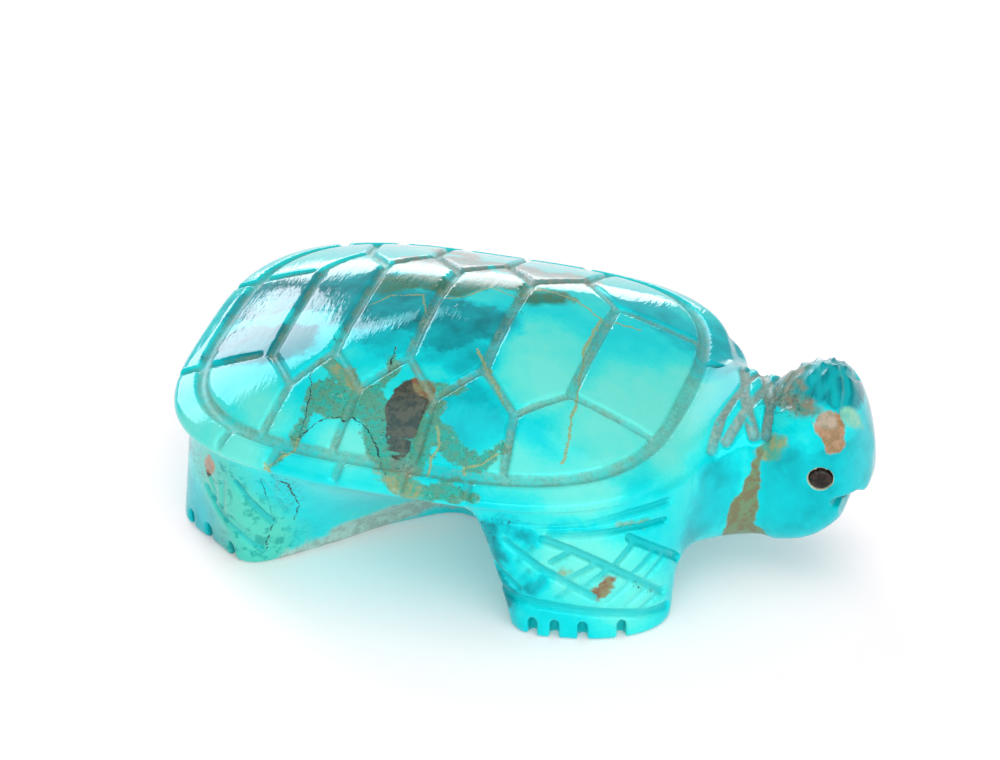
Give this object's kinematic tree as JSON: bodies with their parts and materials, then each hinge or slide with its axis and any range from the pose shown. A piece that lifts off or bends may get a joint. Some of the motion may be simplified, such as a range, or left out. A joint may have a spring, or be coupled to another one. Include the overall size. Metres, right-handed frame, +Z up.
{
  "type": "carved stone turtle figure",
  "caption": "Small carved turquoise turtle, with a grooved shell, cross-hatched legs and crown, and inlaid dark eyes; it stands on a flat base",
  "frame": {"origin": "centre of the bounding box at the level the feet stand on", "axes": "+X towards the head, +Y to the turtle's left, +Z up"},
  "size_m": [0.0366, 0.024, 0.0122],
  "materials": {
    "turquoise": "polished turquoise stone with brown matrix",
    "jet": "polished jet"
  },
  "bodies": {
    "root": {"turtle_figure": "turquoise", "right_eye": "jet", "left_eye": "jet"}
  },
  "joints": []
}
